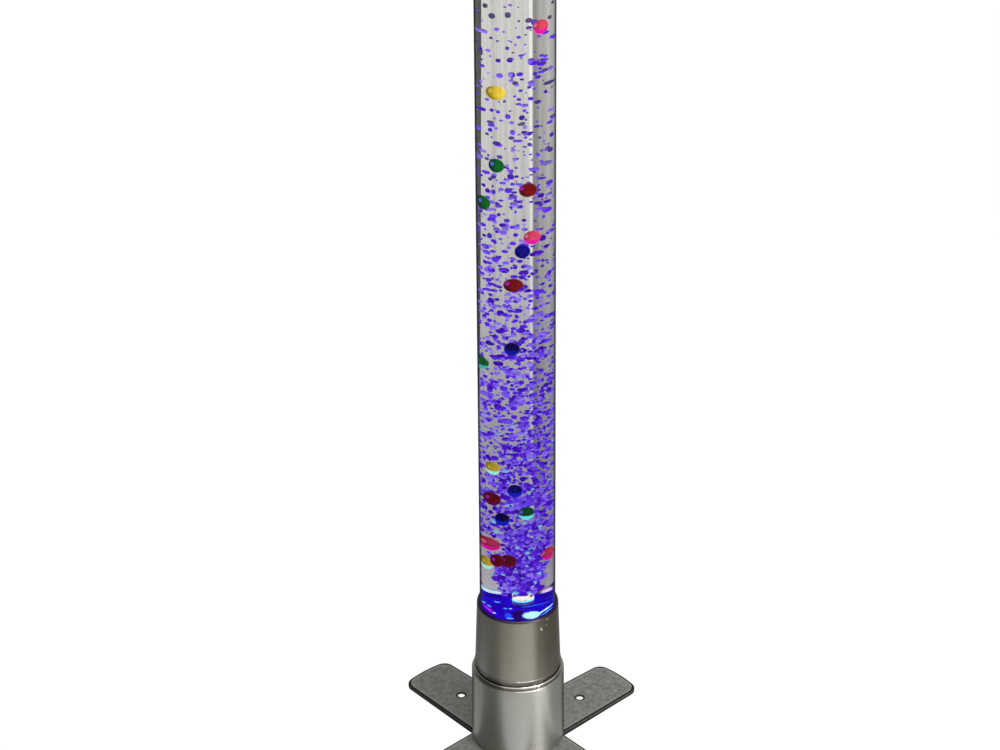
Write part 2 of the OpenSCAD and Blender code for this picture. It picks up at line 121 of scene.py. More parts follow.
class Made:
    """A node that has been made, with its outputs as Sockets."""

    def __init__(self, graph, node):
        self.graph = graph
        self.node = node

    def out(self, name=0):
        return Socket(self.graph, self.node.outputs[name])


class Graph:
    """A shader or geometry node tree, filled by one method."""

    def __init__(self, tree):
        self.tree = tree

    def node(self, kind, settings=None, inputs=None):
        """Adds a node: its settings first, then the values or links of its inputs."""
        node = self.tree.nodes.new(kind)
        for name, value in (settings or {}).items():
            if name == "stops":
                self.set_stops(node.color_ramp, value)
            else:
                setattr(node, name, value)
        pairs = inputs.items() if isinstance(inputs, dict) else enumerate(inputs or [])
        for name, value in pairs:
            self.feed(node.inputs[name], value)
        return Made(self, node)

    def feed(self, target, value):
        """Links a Socket to an input, or sets the input's value. A colour may leave out alpha."""
        if isinstance(value, Socket):
            self.tree.links.new(value.output, target)
        elif hasattr(target.default_value, "__len__") and len(target.default_value) == 4:
            target.default_value = (*value, 1.0) if len(value) == 3 else value
        else:
            target.default_value = value

    def set_stops(self, ramp, stops):
        while len(ramp.elements) < len(stops):
            ramp.elements.new(0.5)
        for element, (place, colour) in zip(ramp.elements, stops):
            element.position = place
            element.color = (*colour, 1.0)

    def mix(self, share, first, second):
        """The first colour where share is 0 and the second where it is 1."""
        factor, colour_a, colour_b, mixed = 0, 6, 7, 2  # places of a colour Mix node's sockets
        inputs = {factor: share, colour_a: first, colour_b: second}
        return self.node("ShaderNodeMix", {"data_type": "RGBA"}, inputs).out(mixed)

    def ramp(self, share, stops):
        """Colour along a row of stops, as (place from 0 to 1, colour)."""
        return self.node("ShaderNodeValToRGB", {"stops": stops}, [share]).out("Color")

    def ramp_by_angle(self, angle, table):
        """Colour by an angle from -pi to pi, from a table of degrees with greys or colours."""
        stops = [((degrees + 180) / 360, (tone,) * 3 if isinstance(tone, float) else tone)
                 for degrees, tone in table]
        return self.ramp(angle / (2 * math.pi) + 0.5, stops)


def angle_from_front(x, y):
    """Angle round the lamp's axis in radians, 0 at the front and growing towards +X."""
    return x.math("ARCTAN2", -y)


class Finish(Graph):
    """A material around one Principled shader, whose constants are set on its own sockets."""

    def __init__(self, name, **constants):
        self.material = bpy.data.materials.new(name)
        self.material.use_nodes = True
        super().__init__(self.material.node_tree)
        self.tree.nodes.clear()
        named = {self.label(key): value for key, value in constants.items()}
        self.shader = self.node("ShaderNodeBsdfPrincipled", None, named)
        self.surface = self.shader.out()
        self.output = self.node("ShaderNodeOutputMaterial", None, [self.surface])
        self.place = self.node("ShaderNodeTexCoord").out("Object")
        parts = self.node("ShaderNodeSeparateXYZ", None, [self.place])
        self.x, self.y, self.z = (parts.out(axis) for axis in "XYZ")

    def set(self, **inputs):
        """Links what varies over the surface, or sets a plain value, on the shader's inputs."""
        for key, value in inputs.items():
            self.feed(self.shader.node.inputs[self.label(key)], value)

    @staticmethod
    def label(key):
        """A socket's name from a Python name: specular_ior_level is Specular IOR Level."""
        return key.replace("_", " ").title().replace("Ior", "IOR")

    def noise(self, scale, detail=2.0, stretch=(1, 1, 1), rough=0.5):
        """Noise from 0 to 1 over the object's own coordinates."""
        place = self.place
        if stretch != (1, 1, 1):
            place = self.node("ShaderNodeMapping", None, {"Vector": place, "Scale": stretch}).out()
        inputs = {"Vector": place, "Scale": scale, "Detail": detail, "Roughness": rough}
        return self.node("ShaderNodeTexNoise", None, inputs).out(0)

    def bump(self, height, depth, strength=1.0):
        """Raises the surface by a height from 0 to 1, times a depth in metres."""
        inputs = {"Strength": strength, "Distance": depth, "Height": height}
        self.set(normal=self.node("ShaderNodeBump", None, inputs).out())

    def facing_up(self):
        """The surface normal's upward part, from -1 to 1."""
        normal = self.node("ShaderNodeNewGeometry").out("Normal")
        return self.node("ShaderNodeSeparateXYZ", None, [normal]).out("Z")

    def azimuth(self):
        return angle_from_front(self.x, self.y)

    def blend_with(self, other, share):
        """Puts another shader over what the surface has so far, where share is 1."""
        self.surface = self.node("ShaderNodeMixShader", None, [share, self.surface, other]).out()
        self.feed(self.output.node.inputs["Surface"], self.surface)


# ---- finishes ----

def spun_metal(name, colour, rough, edge_shade=(0.70, 0.86), **constants):
    """Satin sheet metal, spun on a lathe: fine rings round the axis and faint cloudy stains.

    edge_shade is the part of Layer Weight's Facing over which it darkens towards its outline.
    It gives the finish and its base colour, which the caller sets once its own marks are in it.
    """
    brushed = {"metallic": 1.0, "anisotropic": 0.7, "anisotropic_rotation": 0.25}
    finish = Finish(name, **{**brushed, **constants})
    rings = finish.noise(900.0, 3.0, (0.02, 0.02, 1.0))
    clouds = finish.noise(26.0, 4.0)
    grain = finish.noise(420.0, 2.0)
    shade = 0.86 + 0.12 * rings + 0.12 * clouds + 0.06 * grain
    dark = [0.75 * part for part in colour]
    base = finish.mix(shade.between(0.86, 1.12), dark, colour)
    facing = finish.node("ShaderNodeLayerWeight", None, {"Blend": 0.5}).out("Facing")
    base = finish.mix(facing.between(*edge_shade) * 0.85, base, (0.02, 0.02, 0.018))
    finish.set(roughness=rough + 0.10 * rings - 0.05 * clouds)
    finish.bump(rings, 0.03 * MM, 0.3)
    return finish, base


def satin_shell():
    """The lower housing and the top cap, with no marks of their own."""
    finish, base = spun_metal("satin_shell", (0.46, 0.455, 0.42), 0.33)
    finish.set(base_color=base)
    return finish.material


def satin_sleeve():
    """The sleeve: painted brown shade on its right, three painted glints, and painted shade with the lamps' light
    on its rim.
    """
    finish, base = spun_metal("satin_sleeve", (0.39, 0.375, 0.33), 0.30, (0.50, 0.80),
                              anisotropic=0.0, emission_strength=1.0)
    azimuth = finish.azimuth()
    # painted shade: the sleeve's right side is darkened to brown, standing in for the dark surroundings it mirrors
    # there
    dark_side_shade = azimuth.between(math.radians(21), math.radians(34))
    dark_side_shade = dark_side_shade * (1.0 - azimuth.between(math.radians(63), math.radians(91.7)))
    base = finish.mix(dark_side_shade * 0.55, base, (0.09, 0.072, 0.045))
    # painted highlights: three small slanted near-white glints on the sleeve's right
    sleeve_radius, lean = 43 * MM, 0.35
    sleeve_glints = [  # degrees from the front, height, half width and half height in mm
        (48.6, 176, 0.9, 1.9), (47, 169.5, 0.5, 0.8), (37.4, 167, 1.3, 2.4)]
    for degrees, height, half_width, half_height in sleeve_glints:
        above = finish.z - height * MM
        across = (azimuth - math.radians(degrees)) * sleeve_radius + lean * above
        sideways, upwards = across / (half_width * MM), above / (half_height * MM)
        sleeve_glint = 1.0 - (sideways ** 2.0 + upwards ** 2.0).between(0.5, 1.2)
        base = finish.mix(sleeve_glint * 0.9, base, (0.95, 0.94, 0.90))
    # painted shade and painted light: the lip at the rim is darkened, and glows with the lamps' light
    lip = finish.z.between(sleeve_rim - 3.0 * MM, sleeve_rim - 2.0 * MM) * 0.9
    finish.set(base_color=finish.mix(lip, base, (0.02, 0.015, 0.03)),
               emission_color=finish.mix(lip, (0, 0, 0), lamp_glow(finish)))
    return finish.material


def lamp_glow(finish):
    """The light that leaks past the tube's foot: violet, with two pale patches at the back."""
    dusk, faint, fainter = (0.02, 0.0, 0.10), (0.01, 0.0, 0.03), (0.008, 0.0, 0.02)
    pale_cyan = (0.70, 1.0, 1.0)
    return finish.ramp_by_angle(finish.azimuth(), [
        (-180, dusk), (-170, dusk), (-168, pale_cyan), (-142, pale_cyan), (-134, (0.03, 0.0, 0.15)),
        (-100, faint), (-50, fainter), (0, (0.03, 0.015, 0.05)), (50, fainter), (100, faint),
        (140, dusk), (150, (0.8, 0.6, 1.0)), (168.5, (1.0, 0.8, 1.0)), (170.5, dusk)])


def lit_gasket():
    """The black ring at the tube's foot, lit from inside by the lamps."""
    finish = Finish("lit_gasket", roughness=0.7, emission_strength=1.8)
    rubber = finish.mix(finish.noise(600.0), (0.016, 0.016, 0.02), (0.02, 0.02, 0.024))
    finish.set(base_color=rubber, emission_color=lamp_glow(finish))
    return finish.material


def polished_ring():
    """Bright bead under a neck painted dark, as shade below the sleeve's hem."""
    finish, base = spun_metal("polished_ring", (0.78, 0.76, 0.70), 0.14)
    neck_foot, blur = ring_foot + bead_height, 0.3 * MM
    # painted shade: the neck above the bead is darkened
    neck = finish.z.between(neck_foot - blur, neck_foot + blur)
    finish.set(base_color=finish.mix(neck * 0.85, base, (0.05, 0.048, 0.04)))
    return finish.material


def plain_metal(name, colour, rough):
    """Plated or bare metal with a fine grain."""
    finish = Finish(name, metallic=1.0)
    grain = finish.noise(350.0, 3.0)
    dark = [0.7 * part for part in colour]
    finish.set(base_color=finish.mix(grain, dark, colour), roughness=rough + 0.15 * (grain - 0.5))
    return finish.material


def moulded(name, colour, rough):
    """Moulded plastic or rubber with a fine matt texture."""
    finish = Finish(name)
    fine = finish.noise(600.0, 2.0)
    dark = [0.8 * part for part in colour]
    finish.set(base_color=finish.mix(fine, dark, colour), roughness=rough + 0.1 * (fine - 0.5))
    finish.bump(fine, 0.03 * MM, 0.4)
    return finish.material


def hammered_enamel():
    """Grey hammered paint: dimples, pale flecks and dark pits, with painted shade as a dark outline round each leg
    and on its side faces, and a painted highlight inside that outline.
    """
    finish = Finish("hammered_enamel", specular_ior_level=0.5)
    # one leg's outline: half widths, distances from the lamp's axis, and its rounded end
    root_half, tip_half = 33 * MM, 30.25 * MM
    root, reach = 49.5 * MM, 154.3 * MM
    end_bow, corner = 135 * MM, 12 * MM
    bolt_circle, bolt_hole = 92 * MM, 4 * MM
    taper = (root_half - tip_half) / (reach - root)
    along = (finish.x + finish.y).absolute() * math.sqrt(0.5)
    across = (finish.x - finish.y).absolute() * math.sqrt(0.5)
    out = along.most(across)
    side = along.least(across)
    # how far a point is inside the leg's side, its end, its corners and from its bolt hole
    side_gap = root_half - taper * (out - root) - side
    end_gap = end_bow - ((out - (reach - end_bow)) ** 2.0 + side ** 2.0) ** 0.5
    short_side, short_end = (corner - side_gap).most(0.0), (corner - end_gap).most(0.0)
    edge_gap = corner - (short_side ** 2.0 + short_end ** 2.0) ** 0.5
    hole_gap = ((out - bolt_circle) ** 2.0 + side ** 2.0) ** 0.5 - bolt_hole
    hole_trim = 0.5 * MM  # makes the dark line round a hole that much narrower
    # painted shade and painted highlight: a dark line round each leg's outline and its bolt holes, with a pale
    # sheen band just inside it
    edge = 1.0 - edge_gap.least(hole_gap + hole_trim).between(1.4 * MM, 2.8 * MM)
    sheen = edge_gap.between(2.6 * MM, 3.4 * MM) * (1.0 - edge_gap.between(3.8 * MM, 5.2 * MM))
    facing_up = finish.facing_up()
    flat = facing_up.between(0.2, 0.7)
    foot = 1.0 - finish.z.between(3.8 * MM, 4.6 * MM)
    # painted shade: that dark line on the top faces, and the side faces near the floor
    outline = (edge * facing_up.between(0.05, 0.4)).most((1.0 - flat) * foot)
    cells = {"Vector": finish.place, "Scale": 420.0, "Smoothness": 0.6}
    dimple = finish.node("ShaderNodeTexVoronoi", {"feature": "SMOOTH_F1"}, cells).out("Distance")
    clouds = finish.noise(140.0, 5.0, rough=0.75)
    flecks = finish.noise(330.0, 2.0).between(0.56, 0.70)
    pits = finish.noise(290.0, 1.0).between(0.60, 0.72)
    outline_shade_colour = (0.015, 0.015, 0.013)
    base = finish.mix(clouds.between(0.32, 0.68), (0.15, 0.155, 0.138), (0.28, 0.285, 0.258))
    base = finish.mix(flecks * 0.45, base, (0.42, 0.43, 0.39))
    base = finish.mix(pits * 0.5, base, (0.09, 0.095, 0.08))
    # painted highlight on the pale band, then painted shade on faces that don't look up and on the outline
    base = finish.mix(sheen * flat * 0.4, base, (0.46, 0.465, 0.43))
    base = finish.mix((1.0 - flat) * 0.55, base, (0.03, 0.03, 0.026))
    base = finish.mix(outline * 0.92, base, outline_shade_colour)
    finish.set(base_color=base, roughness=0.34 + 0.25 * dimple)
    finish.bump(dimple, 0.25 * MM, 0.5)
    # painted shade: a dark matt shader laid over the outline
    painted_shade = finish.node("ShaderNodeBsdfDiffuse", None, {"Color": outline_shade_colour}).out()
    finish.blend_with(painted_shade, outline * 0.8)
    return finish.material


def clear_acrylic():
    """The tube's wall, with faint draw lines. Where the bore is wet, light bends less there."""
    finish = Finish("clear_acrylic", roughness=0.0, ior=acrylic_ior, transmission_weight=1.0)
    clear, drawn = (0.985, 0.98, 0.97), (0.88, 0.875, 0.87)
    lines = finish.noise(420.0, 2.0, (1.0, 1.0, 0.004)).between(0.45, 0.8)
    finish.set(base_color=finish.mix(lines, clear, drawn))

    def bending(ior):
        """Shader that bends light and doesn't mirror it, with the draw lines in it."""
        plain, lined = (finish.node("ShaderNodeBsdfRefraction", None,
                                    {"Roughness": 0.0, "IOR": ior, "Color": colour}).out()
                        for colour in (clear, drawn))
        return finish.node("ShaderNodeMixShader", None, [lines, plain, lined]).out()

    calm = 0.8  # takes away this share of the wall's mirror shine
    finish.blend_with(bending(acrylic_ior), calm)
    radius = (finish.x ** 2.0 + finish.y ** 2.0) ** 0.5
    inside = 1.0 - radius.between(wall_middle - 0.1 * MM, wall_middle + 0.1 * MM)
    below = 1.0 - finish.z.between(water_level, water_level + 0.2 * MM)
    finish.blend_with(bending(acrylic_ior / water_ior), inside * below)
    # the wall is dark where it is seen edge on
    facing = finish.node("ShaderNodeLayerWeight", None, {"Blend": 0.5}).out("Facing")
    shade = finish.node("ShaderNodeBsdfDiffuse", None, {"Color": (0.03, 0.03, 0.035)}).out()
    finish.blend_with(shade, (1.0 - inside) * facing.between(0.66, 0.83) * 0.95)
    return finish.material


def still_water():
    """The water's sides and bottom, with painted light and shade by height: violet-grey low down, darkest just
    above the plug, paler grey towards the top. The tube's finish bends the light.
    """
    finish = Finish("still_water", roughness=0.0, ior=1.0, transmission_weight=1.0)
    finish.set(base_color=finish.ramp(finish.z, [
        (0.17, (0.58, 0.55, 0.63)), (0.21, (0.46, 0.43, 0.52)), (0.26, (0.345, 0.335, 0.41)),
        (0.42, (0.385, 0.385, 0.435)), (0.56, (0.52, 0.52, 0.56)), (0.75, (0.68, 0.68, 0.68)),
        (0.9, (0.74, 0.74, 0.73))]))
    return finish.material


def water_surface():
    """The water's top, which bends light as water does."""
    finish = Finish("water_surface", roughness=0.0, ior=water_ior, transmission_weight=1.0)
    finish.set(base_color=finish.mix(finish.noise(60.0), (0.9, 0.9, 0.92), (1.0, 1.0, 1.0)))
    return finish.material


def bubble_finish():
    """Air in water, lit violet from below, with painted shade over their tops that grows stronger and greyer
    higher up.
    """
    finish = Finish("bubble_light", roughness=0.5, specular_ior_level=0.0, emission_strength=1.35)
    tint = finish.node("ShaderNodeAttribute", {"attribute_name": "tint"}).out("Fac")
    glow = finish.ramp(tint, [
        (0.0, (0.045, 0.0, 0.38)), (0.2, (0.075, 0.003, 0.62)), (0.45, (0.12, 0.02, 0.90)),
        (0.7, (0.20, 0.09, 1.0)), (0.9, (0.32, 0.20, 1.0)), (1.0, (0.38, 0.30, 1.0))])
    low = 1.0 - finish.z.between(0.3, 0.45)
    glow = finish.mix(tint.between(0.95, 0.97) * low, glow, (0.25, 0.85, 1.0))
    high = finish.z.between(0.45, 0.85)
    luck = (tint * 7.0).math("FRACT")  # a second random number for each bubble
    # painted shade: the bubbles' upper sides, and whole bubbles here and there high up, turn dark, greyer higher
    # up
    crown = finish.facing_up().between(-0.1, 0.75) * (0.45 + 0.55 * high)
    crown = crown.most(luck.between(0.62, 0.68) * high) * (0.35 + 0.65 * luck)
    painted_shade = finish.mix(high, (0.015, 0.0, 0.20), (0.065, 0.06, 0.085))
    finish.set(emission_color=finish.mix(crown.least(1.0), glow, painted_shade),
               base_color=(0.015, 0.01, 0.03))
    return finish.material


def ball_plastic(name, colour, dark, lamp_light, light_reach, light_high_up, glint_colour):
    """Plastic ball, lit from the front right, with the lamps' light under it and a glint at left.

    light_reach is how far up the ball the lamps' light comes, from -1 at its foot to 1, and
    light_high_up is the share of that light that a ball far from the lamps still gets.
    """
    finish = Finish(name, roughness=0.3, specular_ior_level=0.05, emission_strength=1.3)
    normal = finish.node("ShaderNodeNewGeometry").out("Normal")

    def towards(x, y, z):
        """Cosine of the angle between the surface normal and a direction."""
        settings, inputs = {"operation": "DOT_PRODUCT"}, [normal, Vector((x, y, z)).normalized()]
        return finish.node("ShaderNodeVectorMath", settings, inputs).out("Value")

    near_lamps = 1.0 - finish.z.between(0.38, 0.55)
    mottled = finish.noise(90.0, 2.0).between(0.3, 0.7)
    lit = towards(0.75, -0.6, 0.3).between(-0.35, 0.85) * (1.0 - near_lamps * 0.5)
    face = finish.mix(lit, dark, finish.mix(mottled * 0.4, colour, dark))
    glint = towards(-0.66, -0.62, 0.5).between(0.93, 0.985)
    face = finish.mix(glint * 0.8, face, glint_colour)
    under = 1.0 - towards(0, 0, 1).between(light_reach - 0.1, light_reach + 0.1)
    face = finish.mix(under * (light_high_up + (1 - light_high_up) * near_lamps), face, lamp_light)
    finish.set(base_color=finish.mix(0.85, face, (0, 0, 0)), emission_color=face)
    return finish.material


def lit_plug():
    """Clear plug with the blue lamps shining up through it, and their glints in its top."""
    finish = Finish("plug_light", roughness=0.08, specular_ior_level=0.0, emission_strength=2.0)
    white_cyan, cyan, blue = (0.50, 1.0, 1.0), (0.12, 0.55, 1.0), (0.015, 0.08, 0.9)
    magenta, violet, dusk = (0.42, 0.02, 0.62), (0.14, 0.0, 0.55), (0.012, 0.0, 0.11)
    glints = [  # middle x, y, half length, half width in mm, turn in degrees, colour
        (1.3, -20, 16, 5.6, 90, dusk), (13.5, -19.5, 9.5, 8.2, 100, white_cyan),
        (24.5, -9, 11, 1.8, 62, white_cyan), (28.5, -15, 9, 1.0, 58, cyan),
        (-25, -10, 12, 4.2, 110, violet), (-24, -11, 8, 2.0, 110, magenta),
        (-25.3, 3.5, 2.4, 1.5, 20, cyan), (-21.4, -1.6, 2.6, 1.2, 120, cyan),
        (-20, -17.4, 1.8, 1.3, 0, white_cyan), (-8, -21, 7.4, 3.2, 90, blue),
        (-6, -28, 3.4, 1.6, 0, cyan), (-12.9, 13.2, 2.2, 1.2, 0, cyan),
        (-9.3, -2, 1.5, 1.2, 0, cyan), (-4.8, -1, 1.4, 1.0, 0, white_cyan),
        (-12, 27, 15, 0.9, 40, dusk), (18, 22, 14, 0.9, 140, dusk), (12, 6, 10, 2.0, 20, blue)]
    wave = 3.0 * MM * (finish.noise(260.0, 2.0) - 0.5)  # gives each glint an uneven outline
    patches = finish.noise(90.0, 3.0).between(0.3, 0.7)
    glow = finish.mix(patches, (0.006, 0.0, 0.30), (0.02, 0.0, 0.62))
    for middle_x, middle_y, length, width, turn, colour in glints:
        cosine, sine = math.cos(math.radians(turn)), math.sin(math.radians(turn))
        x, y = finish.x - middle_x * MM, finish.y - middle_y * MM
        long_way = (x * cosine + y * sine + wave) / (length * MM)
        cross_way = (y * cosine - x * sine + wave) / (width * MM)
        spread = (long_way ** 2.0 + cross_way ** 2.0) ** 0.5
        glow = finish.mix(1.0 - spread.between(0.8, 1.15), glow, colour)
    finish.set(base_color=finish.mix(0.9, glow, (0, 0, 0)), emission_color=glow)
    return finish.material


def glowing(name, colour):
    """A lamp's lens, lit, with paler specks."""
    finish = Finish(name, roughness=0.3, emission_strength=2.0)
    specks = finish.mix(finish.noise(500.0), colour, (0.4, 0.5, 1.0))
    finish.set(base_color=colour, emission_color=specks)
    return finish.material


def porous_stone():
    """The stone glows white, yellow and violet, with cyan low down and deep blue at its foot."""
    finish = Finish("porous_stone", roughness=0.9, emission_strength=1.5)
    pores = finish.noise(900.0, 4.0).between(0.35, 0.65)
    patches = finish.noise(230.0, 2.0)
    up = finish.z - stone_low.z
    glow = finish.mix(patches.between(0.42, 0.50), (1.0, 0.95, 1.0), (1.0, 0.85, 0.25))
    glow = finish.mix(patches.between(0.53, 0.58), glow, (0.12, 0.02, 0.6))
    glow = finish.mix(1.0 - up.between(5.5 * MM, 7 * MM), glow, (0.25, 0.9, 1.0))
    glow = finish.mix(1.0 - up.between(3 * MM, 4.5 * MM), glow, (0.01, 0.0, 0.35))
    finish.set(base_color=finish.mix(pores, (0.02, 0.018, 0.03), (0.05, 0.045, 0.06)),
               emission_color=finish.mix(pores * 0.08, glow, (0.7, 0.68, 0.6)))
    finish.bump(pores, 0.3 * MM)
    return finish.material


def ball_finishes():
    """The balls' six colours, by material slot."""
    pale_light, cyan_light = (0.40, 1.0, 0.80), (0.15, 0.95, 0.90)
    blue_light, crimson_light = (0.006, 0.012, 0.55), (0.14, 0.0, 0.05)
    looks = {  # colour, dark side, the lamps' light, its reach, its share high up, glint
        "ball_pink": ((0.75, 0.07, 0.13), (0.26, 0.0, 0.05), (0.80, 0.004, 0.40), -0.05, 0.9,
                      (0.75, 0.16, 0.24)),
        "ball_yellow": ((0.98, 0.74, 0.07), (0.24, 0.16, 0.002), pale_light, -0.05, 0.0,
                        (0.60, 0.45, 0.06)),
        "ball_green": ((0.005, 0.13, 0.02), (0.001, 0.03, 0.014), cyan_light, -0.05, 0.0,
                       (0.14, 0.14, 0.75)),
        "ball_red": ((0.19, 0.005, 0.004), (0.05, 0.001, 0.003), crimson_light, -0.1, 0.0,
                     (0.45, 0.01, 0.45)),
        "ball_blue": ((0.004, 0.002, 0.24), (0.001, 0.0, 0.06), blue_light, 0.12, 0.0,
                      (0.006, 0.002, 0.28)),
        "ball_navy": ((0.003, 0.001, 0.09), (0.001, 0.0, 0.025), blue_light, 0.12, 0.5,
                      (0.006, 0.0, 0.16)),
    }
    return {name: ball_plastic(name, *look) for name, look in looks.items()}


def dress_nodes():
    """Gives every CAD node its finish, by its material slot in the record or by its own name."""
    slots = {
        "hammered_steel": hammered_enamel(),
        "black_rubber": moulded("black_rubber", (0.02, 0.02, 0.021), 0.7),
        "bright_steel": plain_metal("bright_steel", (0.6, 0.6, 0.6), 0.25),
        "plate_steel": plain_metal("plate_steel", (0.45, 0.45, 0.45), 0.4),
        "satin_shell": satin_shell(),
        "polished_ring": polished_ring(),
        "black_plastic": moulded("black_plastic", (0.02, 0.02, 0.022), 0.45),
        "clear_acrylic": clear_acrylic(),
        "plug_acrylic": lit_plug(),
        "white_board": moulded("white_board", (0.85, 0.85, 0.85), 0.35),
        "blue_lamps": glowing("blue_lamps", (0.05, 0.05, 0.95)),
        "green_board": moulded("green_board", (0.02, 0.16, 0.06), 0.35),
        "core_steel": plain_metal("core_steel", (0.2, 0.2, 0.21), 0.5),
        "copper_winding": plain_metal("copper_winding", (0.6, 0.25, 0.1), 0.35),
        "magnet_iron": plain_metal("magnet_iron", (0.1, 0.1, 0.11), 0.55),
        "white_plastic": moulded("white_plastic", (0.75, 0.74, 0.7), 0.45),
        "clear_hose": moulded("clear_hose", (0.8, 0.82, 0.82), 0.3),
        "red_rubber": moulded("red_rubber", (0.5, 0.05, 0.04), 0.6),
        "fitting_brass": plain_metal("fitting_brass", (0.75, 0.55, 0.22), 0.3),
        "pale_stone": porous_stone(),
        "wire_sleeve": moulded("wire_sleeve", (0.35, 0.02, 0.02), 0.4),
        **ball_finishes(),
    }
    by_node = {
        "tube_gasket": lit_gasket(),
        "upper_sleeve": satin_sleeve(),
        "air_fitting": plain_metal("fitting_in_blue_light", (0.08, 0.04, 0.35), 0.4),
    }
    for part in frame["record"]["subparts"]:
        node = frame["nodes"][part["node"]]
        finish = by_node.get(part["node"], slots[part["material_slot"]])
        for place in node.material_slots:
            place.material = finish


# ---- pieces ----

def lathe(name, profile, steps=160):
    """Closed solid turned round the lamp's axis. The profile runs from axis to axis, upwards."""
    mesh = bpy.data.meshes.new(name)
    shape = bmesh.new()
    turn = [2 * math.pi * step / steps for step in range(steps)]
    rings = []
    for radius, height in profile:
        angles = turn if radius else [0.0]
        rings.append([shape.verts.new((radius * math.cos(angle), radius * math.sin(angle), height))
                      for angle in angles])
    for lower, upper in zip(rings, rings[1:]):
        for step in range(steps):
            after = (step + 1) % steps
            corners = [lower[step % len(lower)], lower[after % len(lower)],
                       upper[after % len(upper)], upper[step % len(upper)]]
            shape.faces.new(list(dict.fromkeys(corners)))
    bmesh.ops.recalc_face_normals(shape, faces=shape.faces)
    for edge in shape.edges:
        edge.smooth = edge.calc_face_angle() < math.radians(30)
    shape.to_mesh(mesh)
    shape.free()
    mesh.polygons.foreach_set("use_smooth", [True] * len(mesh.polygons))
    piece = bpy.data.objects.new(name, mesh)
    bpy.context.scene.collection.objects.link(piece)
    return piece


def make_water():
    """Water from the plug to just under the cap, with a curved edge where it wets the tube."""
    wall, foot = bore_radius - water_gap, plug_high.z + water_gap
    rise, edge_steps = 1.6 * MM, 6
    angles = [math.radians(90 * step / edge_steps) for step in range(1, edge_steps + 1)]
    edge = [(wall - rise * (1 - math.sin(angle)), water_level + rise * (1 - math.cos(angle)))
            for angle in angles]
    water = lathe("water", [(0, foot), (wall, foot), *reversed(edge), (0, water_level)])
    for finish in (still_water(), water_surface()):
        water.data.materials.append(finish)
    for face in water.data.polygons:
        face.material_index = int(face.normal.z > 0.1)
    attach(water, "base")


def ball_stops():
    """Points that bubbles keep clear of: where each ball rests, both ends of its travel, and two
    on the way from the resting ball to the front of the tube, so that it stays in view."""
    ranges = {joint["child"]: joint["range_m"]
              for joint in frame["joints"] if joint["child"] in ball_names}
    ahead, rise = (14 * MM, 28 * MM), 0.42
    places = []
    for name in ball_names:
        low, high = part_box(name)
        middle = (low + high) / 2
        places += [middle + Vector((0, 0, shift)) for shift in (0.0, *ranges[name])]
        places += [middle + Vector((0, -step, rise * step)) for step in ahead]
    mesh = bpy.data.meshes.new("ball_stops")
    mesh.from_pydata(places, [], [])
    guide = bpy.data.objects.new("ball_stops", mesh)
    bpy.context.scene.collection.objects.link(guide)
    return guide


